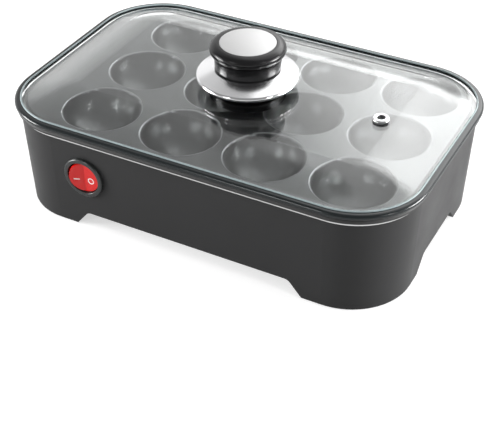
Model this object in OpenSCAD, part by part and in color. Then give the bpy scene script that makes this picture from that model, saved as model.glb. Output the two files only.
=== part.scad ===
// Electric takoyaki maker with a lift-off glass lid.
// Millimetres, +Z up, origin on the table under the middle of the lid.
// +X runs along the front to the right, -Y is the front wall with the switch.

/* [Body] */
// Width of the housing at its top edge
body_w = 223.4; // [200:0.2:280]
// Depth of the housing at its top edge
body_d = 143.4; // [140:0.2:190]
// Height of the housing's top edge above the table
body_h = 53.6; // [50:0.1:65]
// Corner radius of the housing at its top edge
body_corner_r = 35.2; // [34:0.1:40]
// Wall thickness of the housing
wall_t = 2.5; // [2:0.1:3]
// How far the walls lean in between the top edge and the table
wall_draft = 2; // [0:0.1:3]

/* [Feet] */
// Height of the cut-outs between the feet
arch_h = 9.8; // [8:0.1:14]
// Length of the front and back cut-outs at their top
arch_front_w = 117; // [90:1:125]
// Length of the side cut-outs at their top
arch_side_w = 39; // [30:1:45]
// How far each end of a cut-out slopes outwards down to the table
arch_slope = 8; // [5:0.5:12]
// Radius that rounds the cut-outs' corners
arch_r = 4; // [2:0.5:5]
// Gap between the housing and the table
foot_lift = 0.8; // [0.5:0.1:2]
// Diameter of the foot pads
pad_d = 14; // [10:0.5:16]

/* [Baking plate] */
// Height of the plate's top face above the housing's top edge
plate_rise = 4.2; // [4:0.1:8]
// Thickness of the flange that rests on the housing
flange_t = 1.1; // [1:0.1:3]
// Thickness of the cast metal
cast_t = 2.3; // [2:0.1:3.5]
// Bowls along the plate
bowls_x = 4; // [3:1:4]
// Distance between bowls along the plate
pitch_x = 47.1; // [46:0.1:50]
// Distance between bowls across the plate
pitch_y = 44.3; // [44:0.1:47]
// How far the bowl pattern lies to the right of the middle
bowl_shift = 8.8; // [0:0.1:9]
// Diameter of a bowl's mouth
bowl_d = 40.4; // [36:0.1:41]
// Depth of a bowl
bowl_depth = 17.5; // [14:0.1:18]
// Radius that rounds a bowl's mouth
mouth_r = 1; // [0.5:0.1:1.2]

/* [Lid] */
// How far the lid reaches past the housing all round
lid_overhang = 2.7; // [2:0.1:4]
// Thickness of the glass
glass_t = 2.5; // [2.2:0.1:4]
// How far the middle of the glass stands above its edge
dome_rise = 6.5; // [4:0.1:10]
// Steepest angle of the glass
dome_angle = 18; // [14:1:30]
// Radius of the glass's outer bend, at its top face
foot_r = 8; // [4:1:12]
// Radius of the glass's inner bend, at its top face
shoulder_r = 50; // [20:1:55]
// Width of the flat edge of the glass
glass_land = 5; // [4:0.5:7]
// Thickness of the rim's steel
rim_t = 0.35; // [0.3:0.05:0.6]
// Width of the rim seen from above
rim_w = 3.4; // [2.2:0.1:4]
// Distance of the steam vent from the middle of the lid
vent_x = 74.5; // [50:0.5:75]
// Diameter of the steam vent's flange
vent_d = 8.5; // [7:0.1:10]

/* [Knob] */
// Diameter of the polished guard disc
guard_d = 54; // [46:0.5:60]
// Height of the guard disc's middle above the glass
guard_h = 11; // [8:0.1:12]
// Largest diameter of the grip
grip_d = 39.6; // [34:0.2:44]
// Diameter of the grip where it meets the guard disc
grip_base_d = 34.4; // [28:0.2:36]
// Height of the knob's top above the glass
knob_h = 25.4; // [23:0.1:28]
// Diameter of the metal cap
cap_d = 29.2; // [24:0.2:30]

/* [Switch] */
// Distance of the switch from the middle, to the left
switch_x = 57.5; // [40:0.5:60]
// Height of the switch above the table
switch_z = 34; // [32:0.5:36]
// Diameter of the switch's bezel
bezel_d = 23; // [22:0.5:24]
// Diameter of the panel hole for the switch
switch_hole_d = 20.2; // [20:0.1:20.4]
// Travel of the rocker in degrees
rocker_travel = 20; // [14:1:24]

/* [Heating] */
// Diameter of the heating element's tube
element_d = 6.6; // [6:0.1:8]
// Diameter of the cord gland's bore
cord_d = 6.4; // [5:0.1:7]

/* [Hidden] */
$fn = 96;
eps = 0.01;

// Running gap between the lid and what it rests on
lid_gap = 0.3;
// Gap between pieces that are put together by hand
fit_gap = 0.3;
// Radial gap round a screw or a pin in its own hole
screw_gap = 0.05;

draft_angle = atan(wall_draft / body_h);
corner_x = body_w / 2 - body_corner_r;
corner_y = body_d / 2 - body_corner_r;

// Plate levels
plate_top = body_h + plate_rise;
flange_top = body_h + flange_t;
deck_bottom = plate_top - cast_t;
bowls_y = 3;
mesa_inset_low = 2.6;
mesa_inset_top = 3.6;
locator_h = 2.5;
locator_t = 2;
bowl_r = bowl_d / 2;
sphere_r = (bowl_r * bowl_r + bowl_depth * bowl_depth) / (2 * bowl_depth);
sphere_z = plate_top - bowl_depth + sphere_r;
bowl_bottom = plate_top - bowl_depth - cast_t;

// Element run between the rows of bowls, below the plate
element_r = element_d / 2;
element_y = pitch_y / 2;
element_z = bowl_bottom + 4;
bend_x = bowl_shift + pitch_x * (bowls_x - 1) / 2;
rail_w = element_d + 2.4;
rail_left = -body_w / 2 + 27;
element_left = rail_left - 10;
insulator_r = 3.6;
insulator_l = 5;

// Straps that hold the element
strap_t = 1.2;
strap_w = 9;
strap_screw_y = rail_w / 2 + 4.5;
boss_r = 3.5;
m3_r = 1.5;
m3_head_r = 2.8;
m3_head_h = 2;
m4_r = 2;
m4_head_r = 3.8;
m4_head_h = 2.6;

// Reflector tray under the element
tray_t = 0.8;
tray_top = bowl_bottom - 5;
tray_hx = body_w / 2 - 15;
tray_hy = element_y + 19;
tray_corner_r = 12;
tray_wall = 3;

// Lugs in the housing that the plate is screwed to
lug_top = 44;
lug_t = 4;
lug_r = 5.5;
right_lug = [body_w / 2 - 10.7, 30];
left_lug = [-body_w / 2 + 19.7, corner_y + 13.5];
left_reach = [-left_lug[0] - corner_x, left_lug[1] - corner_y];

// Bottom cover and its posts
cover_t = 1.2;
cover_z = arch_h + 0.6;
cover_top = cover_z + cover_t;
cover_gap = 0.4;
post_x = arch_front_w / 2;
post_y = body_d / 2 - 11.2;
post_r = 4;
post_top = 22;
slot_l = 30;
slot_w = 3;
slot_pitch = 8;

// Hollow feet and pads
foot_x = arch_front_w / 2 + arch_slope;
foot_y = arch_side_w / 2 + arch_slope;
floor_t = 2.5;
web_t = 2;
web_top = cover_top + 1;
pad_x = corner_x + 11.5;
pad_y = corner_y + 11.5;
pad_recess = 0.8;

// Lid levels and sizes
lid_w = body_w + 2 * lid_overhang;
lid_d = body_d + 2 * lid_overhang;
lid_r = body_corner_r + lid_overhang;
glass_bottom = plate_top + lid_gap;
glass_edge_top = glass_bottom + glass_t;
dome_top = glass_edge_top + dome_rise;
rim_r = glass_t / 2 + rim_t;
rim_z = glass_bottom + glass_t / 2;
rim_x = lid_r - rim_r;
rim_slot_gap = 0.05;
// Gap between the element's tube and what holds it
element_gap = 0.1;
// Run of the straight slope between the glass's two bends
slope_h = dome_rise - (foot_r + shoulder_r) * (1 - cos(dome_angle));
slope_w = slope_h / tan(dome_angle);

// Knob levels, above the glass
seal_t = 1;
seal_low_t = 1.2;
washer_t = 1;
guard_t = 0.8;
guard_slope = 23;
guard_edge_r = 1.45;
groove_h = 0.9;
bulge_z = knob_h - 3.6;
bulge_drop = 2.9;
groove_z = bulge_z - bulge_drop - groove_h;
cap_t = 0.9;
cap_crown = 0.5;
base_r = 19;
base_top_r = 21;
guard_flat_r = grip_base_d / 2 + 1;
knob_screw_r = 2.5;
knob_hole_r = 4.2;

// Switch, in its own frame: z points out of the front wall
barrel_r = 10;
well_r = 9.1;
bezel_t = 2;
bezel_round = 0.8;
rocker_r = 8.8;
face_angle = rocker_travel / 2;
valley_h = 2;
face_recess = 1.4;
pivot_z = bezel_t - face_recess - valley_h;
rocker_back = 4.1;
pin_r = 1;
pin_gap = 0.1;
well_floor = -7.6;
barrel_back = -9;
block_back = -16;
tab_l = 7;

// Cord gland, in its own frame: z points out of the back wall
gland_x = -45;
gland_z = 25;
gland_neck_r = 6;
gland_flange_r = 8;
gland_flange_t = 2.5;
gland_nut_t = 3.5;

// Thermostat, fuse and terminal block
stat_r = 8;
stat_h = 9;
stat_y = pitch_y + 12.7;
stat_top = bowl_bottom + 8;
stat_boss_y = pitch_y - 8.3;
fuse_r = 3;
fuse_l = 26;
fuse_x = -body_w / 2 + 17.7;
fuse_pad = 2;
fuse_z = deck_bottom - fuse_pad - fuse_r;
clip_t = 0.8;
clip_w = 8;
clip_screw_x = fuse_x - 6.8;
block_l = 20;
block_w = 15;
block_h = 13;
block_x = -45;
block_y = 45;

// ---------- helpers ----------

// Distance from a corner's centre to the housing's outer face at height z
function wall_x(z) = body_corner_r - wall_draft * (1 - z / body_h);

// Points along an arc from angle a0 to a1
function arc(cx, cy, r, a0, a1, n) =
    [for (i = [0:n]) let (a = a0 + (a1 - a0) * i / n) [cx + r * cos(a), cy + r * sin(a)]];

// Sweeps a profile round a rounded rectangle whose corner centres are at (cx, cy).
// The profile's x is the distance outwards from those centres, its y is the height.
module sweep_round(cx, cy) {
    for (side = [0:3]) {
        sx = (side == 0 || side == 3) ? 1 : -1;
        sy = side < 2 ? 1 : -1;
        half = side % 2 == 0 ? cx : cy;
        run = side % 2 == 0 ? cy : cx;
        translate([sx * cx, sy * cy, 0])
            rotate([0, 0, 90 * side])
                rotate_extrude(angle = 90)
                    children();
        rotate([0, 0, 90 * side])
            translate([half, run, 0])
                rotate([90, 0, 0])
                    linear_extrude(2 * run)
                        children();
    }
}

// A slab with rounded corners of radius r about the same corner centres
module round_slab(cx, cy, r, z0, z1) {
    sweep_round(cx, cy)
        translate([0, z0])
            square([r, z1 - z0]);
    translate([-cx, -cy, z0])
        cube([2 * cx, 2 * cy, z1 - z0]);
}

// A pan-head screw that points up, with the underside of its head at z = 0
module screw_up(r, head_r, head_h, length) {
    cylinder(r = r, h = length);
    difference() {
        intersection() {
            translate([0, 0, -head_h])
                cylinder(r = head_r, h = head_h);
            translate([0, 0, head_r - head_h])
                sphere(r = head_r * 1.18);
        }
        for (turn = [0, 90])
            rotate([0, 0, turn])
                translate([-head_r * 0.55, -0.35, -head_h - eps])
                    cube([head_r * 1.1, 0.7, 1]);
    }
}

module at_corners(x, y) {
    for (sx = [-1, 1])
        for (sy = [-1, 1])
            translate([sx * x, sy * y, 0])
                children();
}

module at_bowls() {
    for (i = [0:bowls_x - 1])
        for (j = [0:bowls_y - 1])
            translate([bowl_shift + pitch_x * (i - (bowls_x - 1) / 2),
                       pitch_y * (j - (bowls_y - 1) / 2), 0])
                children();
}

// The gaps between the columns of bowls
gap_x = [for (i = [1:bowls_x - 1]) bowl_shift + pitch_x * (i - bowls_x / 2)];
strap_x = [gap_x[0], gap_x[len(gap_x) - 1]];

module at_straps() {
    for (x = strap_x)
        for (sy = [-1, 1])
            translate([x, sy * element_y, 0])
                children();
}

module at_plate_screws() {
    for (sy = [-1, 1]) {
        translate([right_lug[0], sy * right_lug[1], 0])
            children();
        translate([left_lug[0], sy * left_lug[1], 0])
            children();
    }
}

module at_switch() {
    translate([-switch_x, -(corner_y + wall_x(switch_z)), switch_z])
        rotate([90 + draft_angle, 0, 0])
            children();
}

module at_gland() {
    translate([gland_x, corner_y + wall_x(gland_z), gland_z])
        rotate([-(90 + draft_angle), 0, 0])
            children();
}

// ---------- housing and feet ----------

// Outline of a cut-out between two feet, from below the table up to z = arch_h
module arch_outline(top_w) {
    slope_a = atan(arch_h / arch_slope);
    fillet = arch_r * tan(slope_a / 2);
    top_half = top_w / 2;
    right = arc(top_half - fillet, arch_h - arch_r, arch_r, 90 - slope_a, 90, 8);
    left = [for (i = [len(right) - 1:-1:0]) [-right[i][0], right[i][1]]];
    toe = arch_slope * (1 + 1 / arch_h);
    polygon(concat([[top_half + toe, -1]], right, left, [[-top_half - toe, -1]]));
}

module housing_wall() {
    sweep_round(corner_x, corner_y)
        polygon([
            [wall_x(foot_lift), foot_lift], [wall_x(body_h), body_h],
            [wall_x(body_h) - wall_t, body_h], [wall_x(foot_lift) - wall_t, foot_lift]
        ]);
}

// The part of each corner that lies outside both pairs of cut-outs, shrunk by inset
module foot_corners(inset, z0, z1) {
    for (sx = [-1, 1])
        for (sy = [-1, 1])
            translate([sx > 0 ? foot_x + inset : -body_w, sy > 0 ? foot_y + inset : -body_d, z0])
                cube([body_w - foot_x - inset, body_d - foot_y - inset, z1 - z0]);
}

// Floors and inner walls that close the feet's insides
module foot_boxes() {
    intersection() {
        round_slab(corner_x, corner_y, wall_x(foot_lift) - wall_t / 2, foot_lift, web_top);
        difference() {
            foot_corners(0, foot_lift, web_top);
            foot_corners(web_t, foot_lift + floor_t, web_top + 1);
        }
    }
}

module cover_post() {
    difference() {
        union() {
            translate([0, 0, cover_top])
                cylinder(r = post_r, h = post_top - cover_top);
            translate([-0.8, 0, cover_top])
                cube([1.6, body_d / 2 - post_y - wall_draft - wall_t / 2, post_top - cover_top]);
        }
        translate([0, 0, cover_top - eps])
            cylinder(r = m3_r + screw_gap, h = 12);
    }
}

// A lug's outline: x is the distance outwards, the screw hole is at (reach, 0)
module lug_outline(reach, outer) {
    difference() {
        union() {
            translate([reach, 0])
                circle(r = lug_r);
            translate([reach, 1 - lug_r])
                square([outer - reach, 2 * lug_r - 2]);
        }
        translate([reach, 0])
            circle(r = m4_r + fit_gap);
    }
}

module plate_lugs() {
    outer = wall_x(lug_top) - wall_t / 2;
    for (sy = [-1, 1]) {
        translate([corner_x, sy * right_lug[1], lug_top - lug_t])
            linear_extrude(lug_t)
                lug_outline(right_lug[0] - corner_x, outer);
        translate([-corner_x, sy * corner_y, lug_top - lug_t])
            rotate([0, 0, atan2(sy * left_reach[1], -left_reach[0])])
                linear_extrude(lug_t)
                    lug_outline(norm(left_reach), outer);
    }
}

module housing() {
    color([0.12, 0.12, 0.125])
    difference() {
        union() {
            housing_wall();
            foot_boxes();
            for (sx = [-1, 1])
                for (sy = [-1, 1])
                    translate([sx * post_x, sy * post_y, 0])
                        rotate([0, 0, sy > 0 ? 0 : 180])
                            cover_post();
            plate_lugs();
        }
        translate([0, body_d, 0])
            rotate([90, 0, 0])
                linear_extrude(2 * body_d)
                    arch_outline(arch_front_w);
        translate([-body_w, 0, 0])
            rotate([90, 0, 90])
                linear_extrude(2 * body_w)
                    arch_outline(arch_side_w);
        at_switch()
            translate([0, 0, -wall_t * 2])
                cylinder(d = switch_hole_d, h = wall_t * 3);
        at_gland()
            translate([0, 0, -wall_t * 2])
                cylinder(r = gland_neck_r + screw_gap, h = wall_t * 3);
        at_corners(pad_x, pad_y)
            cylinder(d = pad_d + fit_gap, h = foot_lift + pad_recess);
    }
}

module foot_pads() {
    color([0.05, 0.05, 0.05])
    at_corners(pad_x, pad_y)
        cylinder(d = pad_d, h = foot_lift + pad_recess);
}

module bottom_cover() {
    slots = floor((arch_front_w - 20) / slot_pitch);
    color([0.35, 0.35, 0.36])
    difference() {
        round_slab(corner_x, corner_y, wall_x(cover_z) - wall_t - cover_gap, cover_z, cover_top);
        foot_corners(-cover_gap, cover_z - eps, cover_top + eps);
        for (i = [0:slots - 1])
            for (sy = [-1, 1])
                translate([slot_pitch * (i - (slots - 1) / 2), sy * slot_l * 0.7, cover_z - eps])
                    linear_extrude(cover_t + 2 * eps)
                        union() {
                            square([slot_w, slot_l - slot_w], center = true);
                            for (end = [-1, 1])
                                translate([0, end * (slot_l - slot_w) / 2])
                                    circle(d = slot_w, $fn = 24);
                        }
        at_corners(post_x, post_y)
            translate([0, 0, cover_z - eps])
                cylinder(r = m3_r + fit_gap, h = cover_t + 2 * eps);
    }
}

module cover_screws() {
    color("silver")
    at_corners(post_x, post_y)
        translate([0, 0, cover_z])
            screw_up(m3_r, m3_head_r, m3_head_h, 11);
}

// ---------- baking plate ----------

module plate_profile() {
    edge = body_corner_r;
    locator_x = edge - wall_t - fit_gap;
    polygon(concat(
        [[0, deck_bottom], [0, plate_top]],
        arc(edge - mesa_inset_top - mouth_r, plate_top - mouth_r, mouth_r, 90, 14, 4),
        [
            [edge - mesa_inset_low, flange_top], [edge, flange_top], [edge, body_h],
            [locator_x, body_h], [locator_x, body_h - locator_h],
            [locator_x - locator_t, body_h - locator_h],
            [locator_x - locator_t - 1.2, deck_bottom]
        ]
    ));
}

// Cast rail along the element's run, from height z0 up into the deck
module element_rail(width, z0) {
    rise = deck_bottom + cast_t / 2 - z0;
    for (sy = [-1, 1])
        translate([rail_left, sy * element_y - width / 2, z0])
            cube([bend_x - rail_left, width, rise]);
    translate([bend_x, 0, 0])
        rotate([0, 0, -90])
            rotate_extrude(angle = 180)
                translate([element_y - width / 2, z0])
                    square([width, rise]);
}

// The element's tube: two straight legs and a half turn, from x = left
module element_run(r, left) {
    for (sy = [-1, 1])
        translate([left, sy * element_y, element_z])
            rotate([0, 90, 0])
                cylinder(r = r, h = bend_x - left);
    translate([bend_x, 0, element_z])
        rotate([0, 0, -90])
            rotate_extrude(angle = 180)
                translate([element_y, 0])
                    circle(r = r);
}

module cast_boss(r, z0) {
    translate([0, 0, z0])
        cylinder(r = r, h = deck_bottom + cast_t / 2 - z0);
}

module mouth_cutter() {
    reach = mouth_r + 0.2;
    translate([0, 0, plate_top - mouth_r])
        rotate_extrude()
            difference() {
                translate([bowl_r - reach, 0])
                    square([mouth_r + reach, reach]);
                translate([bowl_r + mouth_r, 0])
                    circle(r = mouth_r);
            }
}

module pilot_hole(r, z0, depth) {
    translate([0, 0, z0 - eps])
        cylinder(r = r + screw_gap, h = depth);
}

module baking_plate() {
    stat_x = gap_x[1];
    color([0.30, 0.30, 0.31])
    difference() {
        union() {
            sweep_round(corner_x, corner_y)
                plate_profile();
            translate([-corner_x, -corner_y, deck_bottom])
                cube([2 * corner_x, 2 * corner_y, cast_t]);
            intersection() {
                at_bowls()
                    translate([0, 0, sphere_z])
                        sphere(r = sphere_r + cast_t);
                translate([-body_w / 2, -body_d / 2, 0])
                    cube([body_w, body_d, deck_bottom + cast_t / 2]);
            }
            element_rail(rail_w, element_z);
            at_straps()
                for (sy = [-1, 1])
                    translate([0, sy * strap_screw_y, 0])
                        cast_boss(boss_r, element_z);
            for (x = gap_x)
                translate([x, 0, 0])
                    cast_boss(boss_r, tray_top);
            at_plate_screws()
                cast_boss(boss_r + 0.7, lug_top);
            translate([stat_x, stat_y, 0])
                cast_boss(stat_r, stat_top);
            translate([stat_x, stat_boss_y, 0])
                cast_boss(boss_r, stat_top - stat_h);
            translate([fuse_x - fuse_r, -fuse_l / 2, deck_bottom - fuse_pad])
                cube([2 * fuse_r, fuse_l, fuse_pad + cast_t / 2]);
            translate([clip_screw_x, 0, 0])
                cast_boss(2.8, deck_bottom - fuse_pad);
        }
        at_bowls() {
            translate([0, 0, sphere_z])
                sphere(r = sphere_r);
            mouth_cutter();
        }
        element_run(element_r + element_gap, rail_left - 1);
        at_straps()
            for (sy = [-1, 1])
                translate([0, sy * strap_screw_y, 0])
                    pilot_hole(m3_r, element_z, 9);
        for (x = gap_x)
            translate([x, 0, 0])
                pilot_hole(m3_r, tray_top, 12);
        at_plate_screws()
            pilot_hole(m4_r, lug_top, 10);
        translate([stat_x, stat_boss_y, 0])
            pilot_hole(m3_r, stat_top - stat_h, 10);
        translate([clip_screw_x, 0, 0])
            pilot_hole(1.25, deck_bottom - fuse_pad, 3.6);
    }
}

module plate_screws() {
    color("silver")
    at_plate_screws()
        translate([0, 0, lug_top - lug_t])
            screw_up(m4_r, m4_head_r, m4_head_h, 13);
}

// ---------- heating parts ----------

module heating_element() {
    color([0.45, 0.42, 0.40])
    element_run(element_r, element_left);
}

module element_insulators() {
    color("white")
    for (sy = [-1, 1])
        translate([element_left - insulator_l, sy * element_y, element_z])
            rotate([0, 90, 0])
                difference() {
                    cylinder(r = insulator_r, h = insulator_l);
                    translate([0, 0, -eps])
                        cylinder(r = 1 + screw_gap, h = insulator_l + 2 * eps);
                }
}

module element_terminals() {
    color("silver")
    for (sy = [-1, 1])
        translate([element_left, sy * element_y, element_z]) {
            rotate([0, -90, 0])
                cylinder(r = 1, h = insulator_l + 1);
            translate([-insulator_l - 6, -0.4, -2.4])
                cube([5.6, 0.8, 4.8]);
        }
}

module element_straps() {
    half = strap_screw_y + boss_r;
    color("silver")
    at_straps()
        difference() {
            union() {
                translate([-strap_w / 2, -half, element_z - strap_t])
                    cube([strap_w, 2 * half, strap_t]);
                translate([-strap_w / 2, 0, element_z])
                    rotate([0, 90, 0])
                        cylinder(r = element_r + element_gap + strap_t, h = strap_w);
            }
            translate([-strap_w, 0, element_z])
                rotate([0, 90, 0])
                    cylinder(r = element_r + element_gap, h = 2 * strap_w);
            translate([-strap_w, -half, element_z])
                cube([2 * strap_w, 2 * half, element_d]);
            for (sy = [-1, 1])
                translate([0, sy * strap_screw_y, element_z - 2 * strap_t])
                    cylinder(r = m3_r + fit_gap, h = 3 * strap_t);
        }
}

module strap_screws() {
    color("silver")
    at_straps()
        for (sy = [-1, 1])
            translate([0, sy * strap_screw_y, element_z - strap_t])
                screw_up(m3_r, m3_head_r, m3_head_h, 9);
}

module reflector_tray() {
    cx = tray_hx - tray_corner_r;
    cy = tray_hy - tray_corner_r;
    color([0.75, 0.75, 0.77])
    difference() {
        union() {
            sweep_round(cx, cy)
                polygon([
                    [0, tray_top - tray_t], [tray_corner_r - 1, tray_top - tray_t],
                    [tray_corner_r + 1, tray_top - tray_t + tray_wall],
                    [tray_corner_r + 1 - tray_t, tray_top - tray_t + tray_wall],
                    [tray_corner_r - 1 - tray_t, tray_top], [0, tray_top]
                ]);
            translate([-cx, -cy, tray_top - tray_t])
                cube([2 * cx, 2 * cy, tray_t]);
        }
        for (x = gap_x)
            translate([x, 0, tray_top - 2 * tray_t])
                cylinder(r = m3_r + fit_gap, h = 3 * tray_t);
    }
}

module reflector_screws() {
    color("silver")
    for (x = gap_x)
        translate([x, 0, tray_top - tray_t])
            screw_up(m3_r, m3_head_r, m3_head_h, 11);
}

module thermostat() {
    color([0.55, 0.42, 0.25])
    translate([gap_x[1], stat_y, stat_top - stat_h]) {
        cylinder(r = stat_r, h = stat_h - 4);
        cylinder(r = stat_r - 0.8, h = stat_h);
        for (sx = [-1, 1])
            translate([sx * (stat_r + 2) - 4.5, -3.15, 1.6])
                cube([9, 6.3, 0.8]);
    }
}

module thermostat_bracket() {
    near = stat_boss_y - boss_r - 1;
    far = stat_y + stat_r + fit_gap;
    color("silver")
    difference() {
        translate([gap_x[1] - 5, near, stat_top - stat_h - strap_t]) {
            cube([10, far + strap_t - near, strap_t]);
            translate([0, far - near, 0])
                cube([10, strap_t, strap_t + 3.5]);
        }
        translate([gap_x[1], stat_boss_y, stat_top - stat_h - 2 * strap_t])
            cylinder(r = m3_r + fit_gap, h = 3 * strap_t);
    }
}

module thermostat_screw() {
    color("silver")
    translate([gap_x[1], stat_boss_y, stat_top - stat_h - strap_t])
        screw_up(m3_r, m3_head_r, m3_head_h, 10);
}

module thermal_fuse() {
    color([0.85, 0.82, 0.70])
    translate([fuse_x, fuse_l / 2, fuse_z])
        rotate([90, 0, 0]) {
            cylinder(r = fuse_r, h = fuse_l);
            translate([0, 0, -5])
                cylinder(r = 0.6, h = fuse_l + 10);
        }
}

module fuse_clip() {
    pad_z = fuse_z + fuse_r;
    color("silver")
    difference() {
        union() {
            translate([fuse_x, clip_w / 2, fuse_z])
                rotate([90, 0, 0])
                    cylinder(r = fuse_r + element_gap + clip_t, h = clip_w);
            translate([clip_screw_x - 2.8, -clip_w / 2, pad_z - clip_t])
                cube([fuse_x - clip_screw_x, clip_w, clip_t]);
        }
        translate([fuse_x, clip_w, fuse_z])
            rotate([90, 0, 0])
                cylinder(r = fuse_r + element_gap, h = 2 * clip_w);
        translate([fuse_x - 2 * fuse_r, -clip_w, pad_z])
            cube([4 * fuse_r, 2 * clip_w, 2 * clip_t]);
        translate([clip_screw_x, 0, pad_z - 2 * clip_t])
            cylinder(r = 1.25 + fit_gap, h = 3 * clip_t);
    }
}

module fuse_clip_screw() {
    color("silver")
    translate([clip_screw_x, 0, fuse_z + fuse_r - clip_t])
        screw_up(1.25, 2.3, 1.6, 4);
}

module terminal_block() {
    color([0.85, 0.85, 0.82])
    translate([block_x, block_y, cover_top])
        difference() {
            translate([-block_l / 2, -block_w / 2, 0])
                cube([block_l, block_w, block_h]);
            for (sx = [-1, 1])
                translate([sx * block_l / 4, 0, 0]) {
                    translate([0, block_w, block_h * 0.45])
                        rotate([90, 0, 0])
                            cylinder(r = 2, h = 2 * block_w, $fn = 32);
                    for (sy = [-1, 1])
                        translate([0, sy * block_w / 4, block_h * 0.45])
                            cylinder(r = 1.8, h = block_h, $fn = 32);
                }
        }
}

// ---------- switch and gland ----------

module switch_body() {
    color([0.13, 0.14, 0.14])
    at_switch()
        difference() {
            union() {
                rotate_extrude()
                    polygon(concat(
                        [[well_r, 0], [bezel_d / 2, 0]],
                        arc(bezel_d / 2 - bezel_round, bezel_t - bezel_round, bezel_round, 0, 90, 6),
                        arc(well_r + bezel_round / 2, bezel_t - bezel_round / 2, bezel_round / 2, 90, 180, 4)
                    ));
                translate([0, 0, barrel_back])
                    cylinder(r = barrel_r, h = -barrel_back);
                translate([-barrel_r * 0.85, -barrel_r * 0.9, block_back])
                    cube([barrel_r * 1.7, barrel_r * 1.35, barrel_back - block_back]);
            }
            translate([0, 0, well_floor])
                cylinder(r = well_r, h = -well_floor + eps);
            for (sy = [-1, 1])
                translate([0, sy * (well_r - 1), pivot_z])
                    rotate([-sy * 90, 0, 0])
                        cylinder(r = pin_r + pin_gap, h = 4, $fn = 32);
        }
}

module switch_terminals() {
    color("silver")
    at_switch()
        for (sx = [-1, 1])
            translate([sx * 4.5 - 2.4, -3, block_back - tab_l])
                cube([4.8, 0.8, tab_l]);
}

module switch_rocker() {
    half = rocker_r + 1;
    color([0.85, 0.08, 0.08])
    at_switch()
        translate([0, 0, pivot_z])
            rotate([0, face_angle, 0]) {
                intersection() {
                    sphere(r = rocker_r);
                    translate([0, half, 0])
                        rotate([90, 0, 0])
                            linear_extrude(2 * half)
                                polygon([
                                    [0, valley_h], [half, valley_h + half * tan(face_angle)],
                                    [half, -rocker_back], [-half, -rocker_back],
                                    [-half, valley_h + half * tan(face_angle)]
                                ]);
                }
                translate([0, (barrel_r - 0.2), 0])
                    rotate([90, 0, 0])
                        cylinder(r = pin_r, h = 2 * (barrel_r - 0.2), $fn = 32);
            }
}

module cord_gland() {
    color([0.06, 0.06, 0.06])
    at_gland()
        rotate_extrude()
            polygon(concat(
                [[cord_d / 2, -wall_t - gland_nut_t], [gland_flange_r - 0.5, -wall_t - gland_nut_t],
                 [gland_flange_r - 0.5, -wall_t - fit_gap / 3], [gland_neck_r, -wall_t - fit_gap / 3],
                 [gland_neck_r, 0], [gland_flange_r, 0]],
                arc(gland_flange_r - 1, gland_flange_t - 1, 1, 0, 90, 6),
                [[cord_d / 2, gland_flange_t]]
            ));
}

// ---------- lid ----------

// The region below one face of the glass, in the sweep's profile plane
module under_glass(edge_x, edge_z, mid_z, lower_r, upper_r) {
    bend_1 = lid_r - glass_land;
    bend_2 = bend_1 - (lower_r + upper_r) * sin(dome_angle) - slope_w;
    upper_z = mid_z - upper_r;
    difference() {
        union() {
            polygon([
                [0, 0], [edge_x, 0], [edge_x, edge_z], [bend_1, edge_z],
                [bend_1 - lower_r * sin(dome_angle), edge_z + lower_r * (1 - cos(dome_angle))],
                [bend_2 + upper_r * sin(dome_angle), upper_z + upper_r * cos(dome_angle)],
                [bend_2, mid_z], [0, mid_z]
            ]);
            intersection() {
                translate([bend_2, upper_z])
                    circle(r = upper_r);
                translate([bend_2, upper_z])
                    square([upper_r * sin(dome_angle), upper_r]);
            }
        }
        translate([bend_1, edge_z + lower_r])
            circle(r = lower_r);
    }
}

module glass_profile() {
    difference() {
        union() {
            under_glass(rim_x, glass_edge_top, dome_top, foot_r, shoulder_r);
            translate([rim_x, rim_z])
                circle(r = glass_t / 2);
        }
        under_glass(rim_x, glass_bottom, dome_top - glass_t, foot_r + glass_t, shoulder_r - glass_t);
        translate([rim_x, 0])
            square([glass_t, glass_bottom]);
    }
}

module lid_glass() {
    color([0.75, 0.80, 0.82, 0.35])
    difference() {
        union() {
            sweep_round(corner_x, corner_y)
                glass_profile();
            translate([-corner_x, -corner_y, dome_top - glass_t])
                cube([2 * corner_x, 2 * corner_y, glass_t]);
        }
        translate([0, 0, dome_top - 2 * glass_t])
            cylinder(r = knob_hole_r, h = 3 * glass_t);
        translate([vent_x, 0, dome_top - 2 * glass_t])
            cylinder(r = vent_d * 0.4, h = 3 * glass_t);
    }
}

module lid_rim() {
    color([0.25, 0.26, 0.27])
    sweep_round(corner_x, corner_y)
        difference() {
            union() {
                translate([rim_x, rim_z])
                    circle(r = rim_r);
                translate([lid_r - rim_w, rim_z - rim_r])
                    square([rim_w - rim_r, 2 * rim_r]);
            }
            translate([rim_x, rim_z])
                circle(r = glass_t / 2 + rim_slot_gap);
            translate([0, rim_z - glass_t / 2 - rim_slot_gap])
                square([rim_x, glass_t + 2 * rim_slot_gap]);
        }
}

module vent_eyelet() {
    bore_r = vent_d * 0.26;
    neck_r = vent_d * 0.4 - 0.1;
    flange_t2 = 1.8;
    color("silver")
    translate([vent_x, 0, dome_top])
        rotate_extrude()
            polygon(concat(
                [[bore_r, -glass_t - 0.7], [vent_d / 2, -glass_t - 0.7], [vent_d / 2, -glass_t],
                 [neck_r, -glass_t], [neck_r, 0], [vent_d / 2, 0]],
                arc(vent_d / 2 - 0.9, flange_t2 - 0.9, 0.9, 0, 90, 6),
                arc(bore_r + 0.5, flange_t2 - 0.5, 0.5, 90, 180, 4)
            ));
}

// ---------- knob ----------

module on_glass() {
    translate([0, 0, dome_top])
        rotate_extrude()
            children();
}

module knob_seal() {
    color([0.12, 0.12, 0.12])
    on_glass()
        translate([knob_screw_r + screw_gap, 0])
            square([base_r - 1 - knob_screw_r, seal_t]);
}

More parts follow.
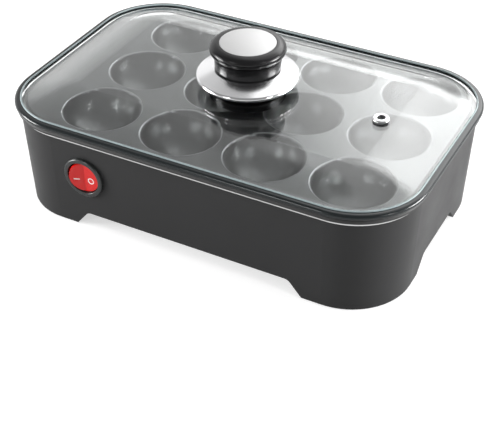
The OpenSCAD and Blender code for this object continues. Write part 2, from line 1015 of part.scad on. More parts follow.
module knob_base() {
    inner = knob_screw_r + screw_gap;
    top = guard_h - guard_t;
    color([0.05, 0.05, 0.05])
    on_glass()
        polygon(concat(
            [[inner, seal_t]],
            arc(base_r - 1, seal_t + 1, 1, -90, -10, 6),
            arc(base_top_r - 1, top - 3, 1, -5, 60, 6),
            [[guard_flat_r - 0.4, top], [inner, top]]
        ));
}

module knob_guard() {
    under = guard_edge_r - guard_t;
    roll_x = guard_d / 2 - guard_edge_r;
    roll_z = guard_h - (roll_x - guard_flat_r) * tan(guard_slope) - guard_edge_r / cos(guard_slope);
    color([0.85, 0.85, 0.86])
    on_glass()
        difference() {
            union() {
                polygon([
                    [knob_screw_r + screw_gap, guard_h - guard_t], [guard_flat_r, guard_h - guard_t],
                    [roll_x + under * sin(guard_slope), roll_z + under * cos(guard_slope)],
                    [roll_x + guard_edge_r * sin(guard_slope), roll_z + guard_edge_r * cos(guard_slope)],
                    [guard_flat_r, guard_h], [knob_screw_r + screw_gap, guard_h]
                ]);
                translate([roll_x, roll_z])
                    circle(r = guard_edge_r);
            }
            translate([roll_x - 0.9, roll_z - 0.9])
                circle(r = 0.75);
        }
}

module knob_grip() {
    base = grip_base_d / 2;
    wide = grip_d / 2;
    neck = base + 0.4;
    seat = cap_d / 2 + 0.2;
    shoulder = knob_h - cap_t - cap_crown;
    color([0.05, 0.05, 0.05])
    difference() {
        on_glass()
            polygon(concat(
                [[0, guard_h], [base - 0.6, guard_h], [base, guard_h + 0.6],
                 [neck, groove_z], [neck - 0.9, groove_z], [neck - 0.9, groove_z + groove_h]],
                [for (a = [-90:15:0]) [neck + (wide - neck) * cos(a), bulge_z + bulge_drop * sin(a)]],
                [for (a = [10:10:80]) [seat + 0.7 + (wide - seat - 0.7) * cos(a),
                                       bulge_z + (shoulder + cap_t - bulge_z) * sin(a)]],
                [[seat + 0.5, shoulder + cap_t], [seat, shoulder + cap_t], [seat, shoulder], [0, shoulder]]
            ));
        translate([0, 0, dome_top])
            cylinder(r = knob_screw_r + screw_gap, h = groove_z);
    }
}

module knob_cap() {
    r = cap_d / 2;
    bottom = knob_h - cap_t - cap_crown;
    crown = [for (i = [6:-1:0]) [r * i / 6, knob_h - cap_crown * pow(i / 6, 2)]];
    color([0.85, 0.85, 0.84])
    on_glass()
        polygon(concat([[0, bottom], [r, bottom]], crown));
}

module knob_lower_seal() {
    color([0.12, 0.12, 0.12])
    on_glass()
        translate([knob_screw_r + screw_gap, -glass_t - seal_low_t])
            square([7.5, seal_low_t]);
}

module knob_washer() {
    color("silver")
    on_glass()
        translate([knob_screw_r + screw_gap, -glass_t - seal_low_t - washer_t])
            square([6.5, washer_t]);
}

module knob_screw() {
    color("silver")
    translate([0, 0, dome_top - glass_t - seal_low_t - washer_t])
        screw_up(knob_screw_r, 4.6, 2.8, glass_t + seal_low_t + washer_t + groove_z - 1);
}

housing();
foot_pads();
bottom_cover();
cover_screws();
baking_plate();
plate_screws();
heating_element();
element_insulators();
element_terminals();
element_straps();
strap_screws();
reflector_tray();
reflector_screws();
thermostat();
thermostat_bracket();
thermostat_screw();
thermal_fuse();
fuse_clip();
fuse_clip_screw();
terminal_block();
switch_body();
switch_terminals();
switch_rocker();
cord_gland();
lid_glass();
lid_rim();
vent_eyelet();
knob_seal();
knob_base();
knob_guard();
knob_grip();
knob_cap();
knob_screw();
knob_washer();
knob_lower_seal();
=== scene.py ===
"""Looks of an electric takoyaki maker with a lift-off glass lid. Metres, +Z up, front at -Y."""
import math

import bmesh
import bpy
from mathutils import Matrix, Vector


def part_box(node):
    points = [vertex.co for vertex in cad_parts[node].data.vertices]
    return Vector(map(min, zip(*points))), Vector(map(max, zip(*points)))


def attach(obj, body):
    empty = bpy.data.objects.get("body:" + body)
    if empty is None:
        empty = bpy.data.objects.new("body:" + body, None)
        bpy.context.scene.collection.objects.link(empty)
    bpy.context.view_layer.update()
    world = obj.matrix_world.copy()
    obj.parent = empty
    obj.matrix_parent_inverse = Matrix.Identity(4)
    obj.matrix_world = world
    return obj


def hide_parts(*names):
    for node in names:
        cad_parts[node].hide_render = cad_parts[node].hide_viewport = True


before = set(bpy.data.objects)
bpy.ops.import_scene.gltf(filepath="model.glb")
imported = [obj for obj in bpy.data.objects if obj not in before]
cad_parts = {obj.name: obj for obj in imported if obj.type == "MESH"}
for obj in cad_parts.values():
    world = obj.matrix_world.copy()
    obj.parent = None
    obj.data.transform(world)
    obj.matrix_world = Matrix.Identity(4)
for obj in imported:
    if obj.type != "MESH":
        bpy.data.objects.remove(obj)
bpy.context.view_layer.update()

MM = 0.001
NOISE_SPAN = (0.3, 0.7)         # where most of a noise lies


# ---------- small tools for node trees ----------

def feed(tree, socket, value):
    """Links a socket into another one, or sets a plain value on it."""
    if isinstance(value, bpy.types.NodeSocket):
        tree.links.new(value, socket)
    else:
        socket.default_value = value


def new_material(name):
    """A material with an empty node tree but for its shader and output."""
    mat = bpy.data.materials.new(name)
    mat.use_nodes = True
    tree = mat.node_tree
    tree.nodes.clear()
    out = tree.nodes.new("ShaderNodeOutputMaterial")
    shader = tree.nodes.new("ShaderNodeBsdfPrincipled")
    tree.links.new(shader.outputs["BSDF"], out.inputs["Surface"])
    return mat, tree, shader


def place(tree, scale=(1, 1, 1)):
    """The piece's own coordinates in metres, scaled."""
    coord = tree.nodes.new("ShaderNodeTexCoord")
    mapping = tree.nodes.new("ShaderNodeMapping")
    mapping.inputs["Scale"].default_value = scale
    tree.links.new(coord.outputs["Object"], mapping.inputs["Vector"])
    return mapping.outputs["Vector"]


def axes_of(tree, vector):
    """The three numbers of a vector: sockets X, Y and Z."""
    node = tree.nodes.new("ShaderNodeSeparateXYZ")
    tree.links.new(vector, node.inputs["Vector"])
    return node.outputs


def noise(tree, vector, scale, detail=3.0):
    """Smooth noise. 1 / scale is the size of its marks in metres."""
    node = tree.nodes.new("ShaderNodeTexNoise")
    node.inputs["Scale"].default_value = scale
    node.inputs["Detail"].default_value = detail
    tree.links.new(vector, node.inputs["Vector"])
    return node.outputs["Fac"]


def ramp(tree, value, low, high, out_low, out_high):
    """Maps value from low..high to out_low..out_high, clamped."""
    node = tree.nodes.new("ShaderNodeMapRange")
    node.inputs["From Min"].default_value = low
    node.inputs["From Max"].default_value = high
    node.inputs["To Min"].default_value = out_low
    node.inputs["To Max"].default_value = out_high
    tree.links.new(value, node.inputs["Value"])
    return node.outputs["Result"]


def soft_ramp(tree, value, low, high, out_low, out_high):
    """The same with rounded ends."""
    result = ramp(tree, value, low, high, out_low, out_high)
    result.node.interpolation_type = "SMOOTHSTEP"
    return result


def mix_colour(tree, factor, first, second):
    """The first colour where factor is 0, the second where it is 1."""
    node = tree.nodes.new("ShaderNodeMix")
    node.data_type = "RGBA"
    tree.links.new(factor, node.inputs["Factor"])
    for socket, colour in ((node.inputs["A"], first), (node.inputs["B"], second)):
        feed(tree, socket, (*colour, 1) if isinstance(colour, tuple) else colour)
    return node.outputs["Result"]


def mix_number(tree, factor, first, second):
    """The same for numbers."""
    node = tree.nodes.new("ShaderNodeMix")
    node.data_type = "FLOAT"
    tree.links.new(factor, node.inputs["Factor"])
    feed(tree, node.inputs["A"], first)
    feed(tree, node.inputs["B"], second)
    return node.outputs["Result"]


def maths(tree, operation, first, second=0.0):
    node = tree.nodes.new("ShaderNodeMath")
    node.operation = operation
    feed(tree, node.inputs[0], first)
    feed(tree, node.inputs[1], second)
    return node.outputs["Value"]


def distance(tree, x, y):
    """How far a point (x, y) is from (0, 0)."""
    squares = maths(tree, "ADD", maths(tree, "MULTIPLY", x, x), maths(tree, "MULTIPLY", y, y))
    return maths(tree, "SQRT", squares)


def bump(tree, shader, height, depth):
    """Fine relief, depth metres deep."""
    node = tree.nodes.new("ShaderNodeBump")
    node.inputs["Distance"].default_value = depth
    node.inputs["Strength"].default_value = 1.0
    tree.links.new(height, node.inputs["Height"])
    tree.links.new(node.outputs["Normal"], shader.inputs["Normal"])


# ---------- small tools for meshes ----------

def finish_piece(obj, material, smooth=True):
    """Gives a piece made here its finish, and smooth or flat faces."""
    obj.data.materials.clear()
    obj.data.materials.append(material)
    for face in obj.data.polygons:
        face.use_smooth = smooth


def mesh_object(name, verts, faces):
    mesh = bpy.data.meshes.new(name)
    mesh.from_pydata([Vector(v) for v in verts], [], faces)
    mesh.validate()
    mesh.update()
    obj = bpy.data.objects.new(name, mesh)
    bpy.context.scene.collection.objects.link(obj)
    return obj


def arc(cx, cz, radius, start, end, steps):
    """Points of an arc, angles in degrees."""
    angles = [math.radians(start + (end - start) * i / steps) for i in range(steps + 1)]
    return [(cx + radius * math.cos(a), cz + radius * math.sin(a)) for a in angles]


def tube_faces(rings, count):
    """Faces of a closed tube: count points in each ring, and the last ring joins the first."""
    faces = []
    for i in range(rings):
        for j in range(count):
            k, m = (i + 1) % rings, (j + 1) % count
            faces.append((i * count + j, k * count + j, k * count + m, i * count + m))
    return faces


def lathe(name, outline, turns=96):
    """Turns a closed outline of (radius, height) points in mm about the lid's middle."""
    verts = []
    for i in range(turns):
        angle = math.tau * i / turns
        verts += [Vector((radius * math.cos(angle), radius * math.sin(angle), height)) * MM
                  for radius, height in outline]
    obj = mesh_object(name, verts, tube_faces(turns, len(outline)))
    work = bmesh.new()
    work.from_mesh(obj.data)
    bmesh.ops.recalc_face_normals(work, faces=work.faces)
    work.to_mesh(obj.data)
    work.free()
    return obj


def heading(azimuth, elevation):
    """A direction in degrees. Azimuth 0 is in front of the object, 90 to its right."""
    az, el = math.radians(azimuth), math.radians(elevation)
    return Vector((math.sin(az) * math.cos(el), -math.cos(az) * math.cos(el), math.sin(el)))


# ---------- camera ----------

IMAGE_W = 488
CAMERA_AZIMUTH = 28.04
CAMERA_ELEVATION = 37.32
CAMERA_ROLL = math.radians(-0.28)
CAMERA_DISTANCE = 655.8 * MM
CAMERA_TARGET = Vector((-2.5, -0.5, -20.5)) * MM
FOCAL_PX = 1157
SENSOR = 36
CLIP = (0.01, 50)


def make_camera():
    """The camera at the photograph's angle."""
    back = heading(CAMERA_AZIMUTH, CAMERA_ELEVATION)
    right = Vector((math.cos(math.radians(CAMERA_AZIMUTH)),
                    math.sin(math.radians(CAMERA_AZIMUTH)), 0))
    up = back.cross(right)
    turned_right = right * math.cos(CAMERA_ROLL) + up * math.sin(CAMERA_ROLL)
    turned_up = up * math.cos(CAMERA_ROLL) - right * math.sin(CAMERA_ROLL)
    data = bpy.data.cameras.new("camera")
    data.sensor_width = SENSOR
    data.lens = FOCAL_PX * SENSOR / IMAGE_W
    data.clip_start, data.clip_end = CLIP
    cam = bpy.data.objects.new("camera", data)
    axes = Matrix((turned_right, turned_up, back)).transposed().to_4x4()
    cam.matrix_world = Matrix.Translation(CAMERA_TARGET + back * CAMERA_DISTANCE) @ axes
    bpy.context.scene.collection.objects.link(cam)
    bpy.context.scene.camera = cam


make_camera()

# ---------- plain finishes ----------

BROAD_SCALE = 35.0


def surface(name, colour, rough, metallic=0.0, grain=0.4, grain_depth=0.01, stretch=(1, 1, 1),
            rough_spread=0.06, tone_spread=0.08, specular=0.5):
    """A procedural finish. grain is the size of its finest mark, grain_depth its depth, in mm."""
    mat, tree, shader = new_material(name)
    fine = noise(tree, place(tree, stretch), 1 / (grain * MM), 2.0)
    broad = noise(tree, place(tree), BROAD_SCALE)
    dark = tuple(c * (1 - tone_spread) for c in colour)
    light = tuple(min(1, c * (1 + tone_spread)) for c in colour)
    tree.links.new(mix_colour(tree, broad, dark, light), shader.inputs["Base Color"])
    tree.links.new(ramp(tree, broad, *NOISE_SPAN, rough - rough_spread, rough + rough_spread),
                   shader.inputs["Roughness"])
    shader.inputs["Metallic"].default_value = metallic
    shader.inputs["Specular IOR Level"].default_value = specular
    bump(tree, shader, fine, grain_depth * MM)
    return mat


GREY_PLASTIC = surface("housing_plastic", (0.033, 0.033, 0.0335), 0.40, grain=0.35,
                       grain_depth=0.012, specular=0.12)
PAD_RUBBER = surface("pad_rubber", (0.02, 0.02, 0.02), 0.75, grain=0.6, grain_depth=0.03)
COVER_STEEL = surface("cover_steel", (0.04, 0.04, 0.04), 0.5, grain=0.5, grain_depth=0.02)
ZINC = surface("zinc", (0.62, 0.62, 0.60), 0.32, 1.0, grain=0.2, grain_depth=0.004)
SHEATH = surface("element_sheath", (0.28, 0.24, 0.21), 0.42, 0.9, grain=0.3, tone_spread=0.3)
CERAMIC = surface("ceramic", (0.84, 0.83, 0.79), 0.25, grain=1.0)
BRASS = surface("terminal_brass", (0.72, 0.62, 0.38), 0.3, 1.0, grain=0.3, grain_depth=0.005)
GALVANISED = surface("galvanised", (0.55, 0.55, 0.54), 0.36, 1.0, grain=2.0, tone_spread=0.2)
REFLECTOR = surface("reflector_aluminium", (0.82, 0.82, 0.83), 0.22, 1.0, grain=0.3,
                    grain_depth=0.003, stretch=(0.05, 1, 1))
PHENOLIC = surface("phenolic", (0.10, 0.055, 0.03), 0.35, grain=0.5)
SLEEVE = surface("fuse_sleeve", (0.75, 0.71, 0.58), 0.8, grain=0.5, grain_depth=0.08)
SATIN_BLACK = surface("switch_black", (0.022, 0.024, 0.024), 0.30, grain=0.3, grain_depth=0.004)
SILICONE = surface("silicone", (0.02, 0.02, 0.02), 0.6, grain=0.5)
KNOB_BLACK = surface("knob_black", (0.006, 0.006, 0.0065), 0.22, grain=1.5, grain_depth=0.004,
                     rough_spread=0.03, specular=0.3)
CHROME = surface("chrome", (0.80, 0.80, 0.81), 0.15, 1.0, grain=0.25, grain_depth=0.0006,
                 rough_spread=0.02, tone_spread=0.02)
RIM_STEEL = surface("rim_steel", (0.010, 0.013, 0.014), 0.2, grain=0.3, grain_depth=0.001,
                    rough_spread=0.03, tone_spread=0.04, specular=0.35)
# pale grey non-metal on the rim's bead: a painted highlight line along the rim's inner lip
BEAD_PAINTED_HIGHLIGHT = surface("bead_painted_highlight", (0.30, 0.36, 0.37), 0.35, grain=0.3, grain_depth=0.001)
STEEL = surface("plain_steel", (0.60, 0.60, 0.60), 0.3, 1.0, grain=0.3, grain_depth=0.004)
MARK_WHITE = surface("mark_white", (0.85, 0.80, 0.78), 0.4, grain=0.2, grain_depth=0.002)

# ---------- the knob's brushed cap ----------

CAP_TONES = ((0.42, 0.42, 0.42), (0.48, 0.48, 0.48))
CAP_ROUGH = (0.32, 0.42)
BRUSH_SCALE = 5000.0
BRUSH_STRETCH = (0.04, 1, 0.04)


def brushed_cap():
    """Fine straight brushing on bright metal."""
    mat, tree, shader = new_material("brushed_cap")
    lines = noise(tree, place(tree, BRUSH_STRETCH), BRUSH_SCALE, 2.0)
    tree.links.new(mix_colour(tree, lines, *CAP_TONES), shader.inputs["Base Color"])
    tree.links.new(ramp(tree, lines, *NOISE_SPAN, *CAP_ROUGH), shader.inputs["Roughness"])
    shader.inputs["Metallic"].default_value = 1.0
    bump(tree, shader, lines, 0.002 * MM)
    return mat


# ---------- the baking plate's coat ----------

PLATE_TOP = 57.8 * MM
BOWL_PITCH = (47.1 * MM, 44.3 * MM)
BOWL_GRID = (4, 3)
BOWL_SHIFT = 8.8 * MM           # the bowls' middle stands this far right of the plate's
MOUTH_R = 20.7 * MM
MOUTH_SHEEN_AND_WEAR_BAND = (0.15 * MM, 0.5 * MM)
MOUTH_DEPTH = (1.5 * MM, 1.0 * MM)
BOWL_REACH = (MOUTH_R + 0.6 * MM, MOUTH_R + 0.8 * MM)
FLANGE_T = 1.5 * MM
FLANGE_BLEND = 0.05 * MM
FLECK = 0.4 * MM
COAT_TONES = ((0.125, 0.125, 0.127), (0.140, 0.140, 0.143))
# paler coat along the bowls' mouths: partly wear, partly a painted highlight of the rounded mouths
SHEEN_AND_WEAR_COAT = (0.42, 0.42, 0.43)
BARE_METAL = (0.62, 0.62, 0.62)
COAT_ROUGH = (0.36, 0.42)
COAT_METALLIC = 0.7


def bowl_masks(tree, split):
    """Two masks: 1 along the rounded mouths of the twelve bowls, and 1 inside the bowls."""
    pitch_x, pitch_y = BOWL_PITCH
    half_x, half_y = (count / 2 for count in BOWL_GRID)
    shifted = maths(tree, "SUBTRACT", split["X"], BOWL_SHIFT)
    cell_x = maths(tree, "FRACT", maths(tree, "DIVIDE", shifted, pitch_x))
    cell_y = maths(tree, "DIVIDE", split["Y"], pitch_y)
    cell_y = maths(tree, "FRACT", maths(tree, "ADD", cell_y, 0.5))
    off_x = maths(tree, "MULTIPLY", maths(tree, "SUBTRACT", cell_x, 0.5), pitch_x)
    off_y = maths(tree, "MULTIPLY", maths(tree, "SUBTRACT", cell_y, 0.5), pitch_y)
    radius = distance(tree, off_x, off_y)
    away = maths(tree, "ABSOLUTE", maths(tree, "SUBTRACT", radius, MOUTH_R))
    # the band along each mouth where the painted highlight and the wear go
    ring = ramp(tree, away, *MOUTH_SHEEN_AND_WEAR_BAND, 1, 0)
    columns = ramp(tree, maths(tree, "ABSOLUTE", shifted),
                   (half_x - 0.01) * pitch_x, half_x * pitch_x, 1, 0)
    rows = ramp(tree, maths(tree, "ABSOLUTE", split["Y"]),
                (half_y - 0.01) * pitch_y, half_y * pitch_y, 1, 0)
    cells = maths(tree, "MULTIPLY", columns, rows)
    upper = ramp(tree, split["Z"], *(PLATE_TOP - depth for depth in MOUTH_DEPTH), 0, 1)
    inside = ramp(tree, radius, *BOWL_REACH, 1, 0)
    return (maths(tree, "MULTIPLY", ring, maths(tree, "MULTIPLY", cells, upper)),
            maths(tree, "MULTIPLY", inside, cells))


def plate_coating():
    """Dark non-stick coat with fine flecks, lighter at the bowls' mouths as wear and as a painted
    highlight on their rounded edges, and none on the flange.
    """
    edge_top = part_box("housing")[1][2] + FLANGE_T
    mat, tree, shader = new_material("plate_coating")
    vector = place(tree)
    fleck = noise(tree, vector, 1 / FLECK)
    broad = noise(tree, vector, 30.0, 2.0)
    coat = mix_colour(tree, ramp(tree, fleck, 0.62, 0.75, 0, 1), *COAT_TONES)
    split = axes_of(tree, vector)
    mouths, inside = bowl_masks(tree, split)
    # lighter ring at the mouths: painted highlight mixed with wear, broken up by broad noise
    wear_and_sheen = maths(tree, "MULTIPLY", mouths, ramp(tree, broad, 0.35, 0.65, 0.45, 1.0))
    coat = mix_colour(tree, wear_and_sheen, coat, SHEEN_AND_WEAR_COAT)
    low = ramp(tree, split["Z"], edge_top - FLANGE_BLEND, edge_top + FLANGE_BLEND, 1, 0)
    bare = maths(tree, "MULTIPLY", low, maths(tree, "SUBTRACT", 1, inside))
    tree.links.new(mix_colour(tree, bare, coat, BARE_METAL), shader.inputs["Base Color"])
    tree.links.new(ramp(tree, bare, 0, 1, COAT_METALLIC, 1), shader.inputs["Metallic"])
    tree.links.new(ramp(tree, broad, *NOISE_SPAN, *COAT_ROUGH), shader.inputs["Roughness"])
    shader.inputs["Specular IOR Level"].default_value = 1.0
    bump(tree, shader, fleck, 0.0006 * MM)
    return mat


# ---------- the knob's guard disc ----------

GUARD_FACE_R = 25.0 * MM
GUARD_BLEND = 0.3 * MM
GUARD_TONES = ((0.70, 0.70, 0.71), (0.80, 0.80, 0.81))
GUARD_FACE_ROUGH = 0.19
GUARD_EDGE_ROUGH = 0.16
TURNING_PITCH = 0.15 * MM


def guard_metal():
    """Bright metal: a polished face with fine turned rings, and a rolled edge."""
    mat, tree, shader = new_material("guard_metal")
    split = axes_of(tree, place(tree))
    across = distance(tree, split["X"], split["Y"])
    turned = tree.nodes.new("ShaderNodeCombineXYZ")
    tree.links.new(across, turned.inputs["X"])
    rings = noise(tree, turned.outputs["Vector"], 1 / TURNING_PITCH, 2.0)
    tree.links.new(mix_colour(tree, rings, *GUARD_TONES), shader.inputs["Base Color"])
    rough = ramp(tree, across, GUARD_FACE_R - GUARD_BLEND, GUARD_FACE_R + GUARD_BLEND,
                 GUARD_FACE_ROUGH, GUARD_EDGE_ROUGH)
    rough = maths(tree, "ADD", rough, ramp(tree, rings, *NOISE_SPAN, -0.03, 0.03))
    tree.links.new(rough, shader.inputs["Roughness"])
    shader.inputs["Metallic"].default_value = 1.0
    bump(tree, shader, rings, 0.0006 * MM)
    return mat


# ---------- glass and rocker ----------

GLASS_TONES = ((0.955, 0.985, 0.98), (0.97, 0.99, 0.985))
GLASS_ROUGH = (0.0, 0.012)
GLASS_IOR = 1.5
RED_TONES = ((0.58, 0.005, 0.004), (0.68, 0.007, 0.006))
RED_ROUGH = (0.18, 0.26)


def clear_glass():
    """Clear tempered glass with a faint green tint."""
    mat, tree, shader = new_material("clear_glass")
    haze = noise(tree, place(tree), 25.0, 2.0)
    tree.links.new(mix_colour(tree, haze, *GLASS_TONES), shader.inputs["Base Color"])
    tree.links.new(ramp(tree, haze, *NOISE_SPAN, *GLASS_ROUGH), shader.inputs["Roughness"])
    shader.inputs["Transmission Weight"].default_value = 1.0
    shader.inputs["IOR"].default_value = GLASS_IOR
    return mat


def rocker_red():
    """Red moulded plastic that lets a little light in."""
    mat, tree, shader = new_material("rocker_red")
    broad = noise(tree, place(tree), 120.0, 2.0)
    tree.links.new(mix_colour(tree, broad, *RED_TONES), shader.inputs["Base Color"])
    tree.links.new(ramp(tree, broad, *NOISE_SPAN, *RED_ROUGH), shader.inputs["Roughness"])
    shader.inputs["Subsurface Weight"].default_value = 0.15
    shader.inputs["Subsurface Radius"].default_value = (2 * MM, 0.3 * MM, 0.3 * MM)
    return mat


RED = rocker_red()

NODE_FINISH = {
    "housing": GREY_PLASTIC, "foot_pads": PAD_RUBBER, "bottom_cover": COVER_STEEL,
    "cover_screws": ZINC, "plate_screws": ZINC, "strap_screws": ZINC, "reflector_screws": ZINC,
    "thermostat_screw": ZINC, "fuse_clip_screw": ZINC, "knob_screw": ZINC,
    "baking_plate": plate_coating(), "heating_element": SHEATH, "element_insulators": CERAMIC,
    "terminal_block": CERAMIC, "element_terminals": BRASS, "switch_terminals": BRASS,
    "element_straps": GALVANISED, "thermostat_bracket": GALVANISED, "fuse_clip": GALVANISED,
    "reflector_tray": REFLECTOR, "thermostat": PHENOLIC, "thermal_fuse": SLEEVE,
    "switch_body": SATIN_BLACK, "switch_rocker": RED, "cord_gland": PAD_RUBBER,
    "lid_glass": clear_glass(), "lid_rim": RIM_STEEL, "vent_eyelet": CHROME,
    "knob_seal": SILICONE, "knob_lower_seal": SILICONE, "knob_base": KNOB_BLACK,
    "knob_grip": KNOB_BLACK, "knob_guard": guard_metal(), "knob_cap": brushed_cap(),
    "knob_washer": STEEL,
}
for node_name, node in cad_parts.items():
    node.data.materials.clear()
    node.data.materials.append(NODE_FINISH[node_name])

# ---------- the rim's lower lip and bead, in mm ----------

BODY_HALF = (111.7, 71.7)
BODY_CORNER_R = 35.2
LID_CORNER_R = 37.9
RIM_TUBE_R = 1.6
RIM_Z = 59.35
SEAT_LOW = 55.2
SEAT_IN = BODY_CORNER_R + 0.3
SEAT_OUT = 36.9
SEAT_GAP = 0.02
SEAT_STEPS = 6
BEAD_R = 0.5
BEAD_AT = (34.4, 61.12)


def sweep_round(name, outline, steps=24):
    """Runs a closed outline of (reach, height) points round the lid's rounded rectangle."""
    centre_x, centre_y = (half - BODY_CORNER_R for half in BODY_HALF)
    verts = []
    for corner, (side_x, side_y) in enumerate(((1, 1), (-1, 1), (-1, -1), (1, -1))):
        for step in range(steps + 1):
            angle = math.radians(90 * (corner + step / steps))
            verts += [Vector((side_x * centre_x + reach * math.cos(angle),
                              side_y * centre_y + reach * math.sin(angle), height)) * MM
                      for reach, height in outline]
    return mesh_object(name, verts, tube_faces(4 * (steps + 1), len(outline)))


def make_rim_seat():
    """The rim's soft lower lip, between the rim's tube and the plate's flange."""
    centre = LID_CORNER_R - RIM_TUBE_R
    clear = RIM_TUBE_R + SEAT_GAP
    reaches = [SEAT_OUT - (SEAT_OUT - SEAT_IN) * i / SEAT_STEPS for i in range(SEAT_STEPS + 1)]
    top = [(x, RIM_Z - math.sqrt(clear ** 2 - (x - centre) ** 2)) for x in reaches]
    half = (SEAT_OUT - SEAT_IN) / 2
    foot = arc((SEAT_IN + SEAT_OUT) / 2, SEAT_LOW + half, half, 180, 360, 8)
    seat = sweep_round("lid_rim_seat", top + foot)
    finish_piece(seat, SILICONE)
    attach(seat, "lid")


def make_rim_bead():
    """The rolled edge of the rim's upper lip, on the glass, in pale grey: a painted highlight
    line.
    """
    bead = sweep_round("lid_rim_bead", arc(*BEAD_AT, BEAD_R, 0, 345, 23))
    finish_piece(bead, BEAD_PAINTED_HIGHLIGHT)
    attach(bead, "lid")


# ---------- the seal under the glass, in mm ----------

GLASS_UNDER = 64.6
CUP_LOW = 60.2
CUP_R = 20.5
CUP_IN = 11.0
CUP_LEAN = 0.2
CUP_TOP_R = 0.6
CUP_OUT_R = 1.6
CUP_IN_R = 1.2
SEAL_IN = 2.55
SEAL_T = 1.2


def make_lower_seal():
    """The black seal under the glass: flat in its middle, with a deep rolled brim."""
    outline = [(SEAL_IN, GLASS_UNDER)]
    outline += arc(CUP_R - CUP_TOP_R, GLASS_UNDER - CUP_TOP_R, CUP_TOP_R, 90, 0, 5)
    outline += arc(CUP_R - CUP_LEAN - CUP_OUT_R, CUP_LOW + CUP_OUT_R, CUP_OUT_R, 0, -90, 8)
    outline += arc(CUP_IN + CUP_LEAN + CUP_IN_R, CUP_LOW + CUP_IN_R, CUP_IN_R, 270, 180, 6)
    outline += [(CUP_IN, GLASS_UNDER - SEAL_T), (SEAL_IN, GLASS_UNDER - SEAL_T)]
    seal = lathe("knob_lower_cup", outline)
    finish_piece(seal, KNOB_BLACK)
    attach(seal, "lid")
    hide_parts("knob_lower_seal")


# ---------- the switch's marks, in mm ----------

HOUSING_H = 53.6
WALL_LEAN = 2
WALL_DRAFT = math.atan(WALL_LEAN / HOUSING_H)
SWITCH_X = -57.5
SWITCH_Z = 34
SWITCH_Y = -(BODY_HALF[1] - WALL_LEAN * (1 - SWITCH_Z / HOUSING_H))
PIVOT_DEPTH = -1.4
FACE_ANGLE = math.radians(10)
FACE_VALLEY = 2.0
MARK_REACH = {-1: 4.2, 1: 3.7}
MARK_DROP = 1.2
MARK_H = 0.05
BAR_HALF = 1.4
BAR_R = 0.3
RING_RADII = (1.85, 1.3)
RING_STEPS = 40


def face_frame(side):
    """Placement of one face of the rocker: side is -1 for I, 1 for O."""
    place_switch = (Matrix.Translation((SWITCH_X, SWITCH_Y, SWITCH_Z))
                    @ Matrix.Rotation(math.radians(90) + WALL_DRAFT, 4, "X"))
    turn = Matrix.Translation((0, 0, PIVOT_DEPTH)) @ Matrix.Rotation(FACE_ANGLE, 4, "Y")
    reach = MARK_REACH[side]
    height = FACE_VALLEY + reach * math.tan(FACE_ANGLE)
    face = (Matrix.Translation((side * reach, -MARK_DROP, height))
            @ Matrix.Rotation(-side * FACE_ANGLE, 4, "Y"))
    return place_switch @ turn @ face


def prism(name, loops, frame_matrix):
    """A thin flat piece inside a loop of (x, y) points, or between an outer and an inner one."""
    verts, faces = [], []
    count = len(loops[0])
    top = count * len(loops)
    for height in (0.0, MARK_H):
        for loop in loops:
            verts += [frame_matrix @ Vector((x, y, height)) * MM for x, y in loop]
    for i in range(count):
        k = (i + 1) % count
        faces.append((i, k, top + k, top + i))
        if len(loops) == 2:
            faces.append((count + k, count + i, top + count + i, top + count + k))
            faces.append((top + i, top + k, top + count + k, top + count + i))
            faces.append((k, i, count + i, count + k))
    if len(loops) == 1:
        faces.append(tuple(range(top, top + count)))
        faces.append(tuple(reversed(range(count))))
    return mesh_object(name, verts, faces)


def make_marks():
    """I and O, moulded pale on the rocker's faces. The switch lies on its side, so I lies flat."""
    bar = arc(BAR_HALF, 0, BAR_R, -90, 90, 6) + arc(-BAR_HALF, 0, BAR_R, 90, 270, 6)
    turns = [math.tau * i / RING_STEPS for i in range(RING_STEPS)]
    ring = [[(radius * math.cos(a), radius * math.sin(a)) for a in turns]
            for radius in RING_RADII]
    for name, loops, side in (("mark_on", [bar], -1), ("mark_off", ring, 1)):
        mark = prism(name, loops, face_frame(side))
        finish_piece(mark, MARK_WHITE, smooth=False)
        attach(mark, "rocker")


make_rim_seat()
make_rim_bead()
make_lower_seal()
make_marks()

# ---------- world: angles in degrees, and levels where 1 is white ----------

STUDIO_SIDES = 0.10             # what lights the object, near the horizon and overhead
STUDIO_TOP = 1.35
STUDIO_TURN = (42, 62)
GLOSS_BASE = 0.32               # what gloss and glass mirror, all round
BACK_EVEN = 0.42                # added behind the object
BACK_WASH = 0.5                 # added behind it, low down
BACK_TURN = (-0.1, 0.3)         # the direction's Y where behind begins and is full
BACK_TOP = (24, 34)             # elevations
HORIZON = (3, 10)
PANELS = (                      # direction, where it fades out and is full, level
    ((173, 7), (42, 30), 4.0),
    ((170, 50), (32, 23), 1.0),
)
PANEL_FOOT = (14, 26)           # elevations where the panels begin and are full


def any_ray(tree, *rays):
    """1 for the named kinds of ray, else 0."""
    path = tree.nodes.new("ShaderNodeLightPath")
    seen = path.outputs[rays[0]]
    for ray in rays[1:]:
        seen = maths(tree, "MAXIMUM", seen, path.outputs[ray])
    return seen


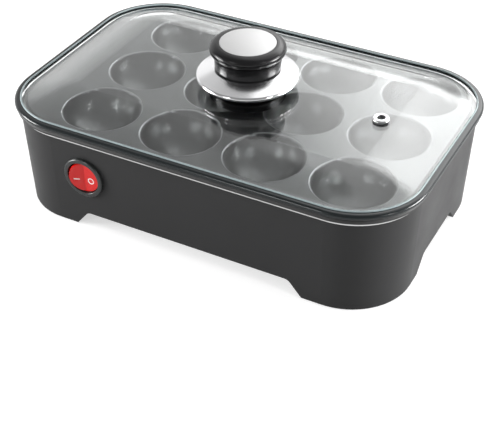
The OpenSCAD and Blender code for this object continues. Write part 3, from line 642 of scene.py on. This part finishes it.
def make_world():
    """White to the camera, through glass and at the horizon; a soft studio for all else."""
    world = bpy.data.worlds.new("studio")
    world.use_nodes = True
    tree = world.node_tree
    tree.nodes.clear()
    out = tree.nodes.new("ShaderNodeOutputWorld")
    back = tree.nodes.new("ShaderNodeBackground")
    direction = tree.nodes.new("ShaderNodeTexCoord").outputs["Generated"]
    split = axes_of(tree, direction)

    def above(angles, at_low, at_high):
        low, high = (math.sin(math.radians(angle)) for angle in angles)
        return soft_ramp(tree, split["Z"], low, high, at_low, at_high)

    behind = soft_ramp(tree, split["Y"], *BACK_TURN, 0, 1)
    wash = above(BACK_TOP, BACK_EVEN + BACK_WASH, BACK_EVEN)
    light = maths(tree, "ADD", maths(tree, "MULTIPLY", wash, behind), GLOSS_BASE)
    for toward, angles, level in PANELS:
        dot = tree.nodes.new("ShaderNodeVectorMath")
        dot.operation = "DOT_PRODUCT"
        tree.links.new(direction, dot.inputs[0])
        dot.inputs[1].default_value = heading(*toward)
        outer, inner = (math.cos(math.radians(angle)) for angle in angles)
        panel = soft_ramp(tree, dot.outputs["Value"], outer, inner, 0, level)
        panel = maths(tree, "MULTIPLY", panel, above(PANEL_FOOT, 0, 1))
        light = maths(tree, "ADD", light, panel)
    light = maths(tree, "MAXIMUM", light, above(HORIZON, 1, 0))
    path = tree.nodes.new("ShaderNodeLightPath")
    mirrored = maths(tree, "MINIMUM", path.outputs["Glossy Depth"], 1)
    scattered = maths(tree, "MINIMUM", path.outputs["Diffuse Depth"], 1)
    level = mix_number(tree, mirrored, above(STUDIO_TURN, STUDIO_SIDES, STUDIO_TOP), light)
    straight = maths(tree, "SUBTRACT", any_ray(tree, "Is Camera Ray", "Is Transmission Ray"),
                     maths(tree, "MAXIMUM", mirrored, scattered))
    level = mix_number(tree, maths(tree, "MAXIMUM", straight, 0), level, 1)
    tree.links.new(level, back.inputs["Strength"])
    tree.links.new(back.outputs["Background"], out.inputs["Surface"])
    back.inputs["Color"].default_value = (1, 1, 1, 1)
    bpy.context.scene.world = world


# ---------- floor and lamps ----------

FLOOR_HALF = 6.0
FLOOR_GREY = 0.6
FLOOR_TO_CAMERA = 0.6
FLOOR_TO_GLOSS = 0.2
LAMPS = (                       # name, azimuth, elevation, distance, size, watts
    ("left_low", -62, 12, 0.8, (0.35, 0.25), 7),
    ("right_low", 112, 12, 1.0, (0.5, 0.25), 16),
    ("small_left", -18, 27, 1.0, (0.16, 0.16), 1.4),
    ("small_right", 74, 27, 1.0, (0.16, 0.16), 1.5),
)


def make_floor():
    """A pale floor that takes the object's shadow and shows white round it."""
    corners = [(x * FLOOR_HALF, y * FLOOR_HALF, 0)
               for x, y in ((-1, -1), (1, -1), (1, 1), (-1, 1))]
    floor = mesh_object("floor", corners, [(0, 1, 2, 3)])
    mat = bpy.data.materials.new("floor_white")
    mat.use_nodes = True
    tree = mat.node_tree
    tree.nodes.clear()
    out = tree.nodes.new("ShaderNodeOutputMaterial")
    diffuse = tree.nodes.new("ShaderNodeBsdfDiffuse")
    diffuse.inputs["Color"].default_value = (FLOOR_GREY, FLOOR_GREY, FLOOR_GREY, 1)
    glow = tree.nodes.new("ShaderNodeEmission")
    to_camera = maths(tree, "MULTIPLY", any_ray(tree, "Is Camera Ray", "Is Transmission Ray"),
                      FLOOR_TO_CAMERA)
    to_gloss = maths(tree, "MULTIPLY", any_ray(tree, "Is Glossy Ray"), FLOOR_TO_GLOSS)
    tree.links.new(maths(tree, "ADD", to_camera, to_gloss), glow.inputs["Strength"])
    both = tree.nodes.new("ShaderNodeAddShader")
    tree.links.new(diffuse.outputs["BSDF"], both.inputs[0])
    tree.links.new(glow.outputs["Emission"], both.inputs[1])
    tree.links.new(both.outputs["Shader"], out.inputs["Surface"])
    floor.data.materials.append(mat)


def softbox(name, azimuth, elevation, far, size, watts):
    """A rectangular lamp that faces the object."""
    away = heading(azimuth, elevation)
    data = bpy.data.lights.new(name, "AREA")
    data.shape = "RECTANGLE"
    data.size, data.size_y = size
    data.energy = watts
    lamp = bpy.data.objects.new(name, data)
    lamp.location = away * far
    lamp.rotation_mode = "QUATERNION"
    lamp.rotation_quaternion = away.to_track_quat("Z", "Y")
    bpy.context.scene.collection.objects.link(lamp)


make_world()
make_floor()
for lamp_row in LAMPS:
    softbox(*lamp_row)

bpy.context.scene.view_settings.view_transform = "Standard"
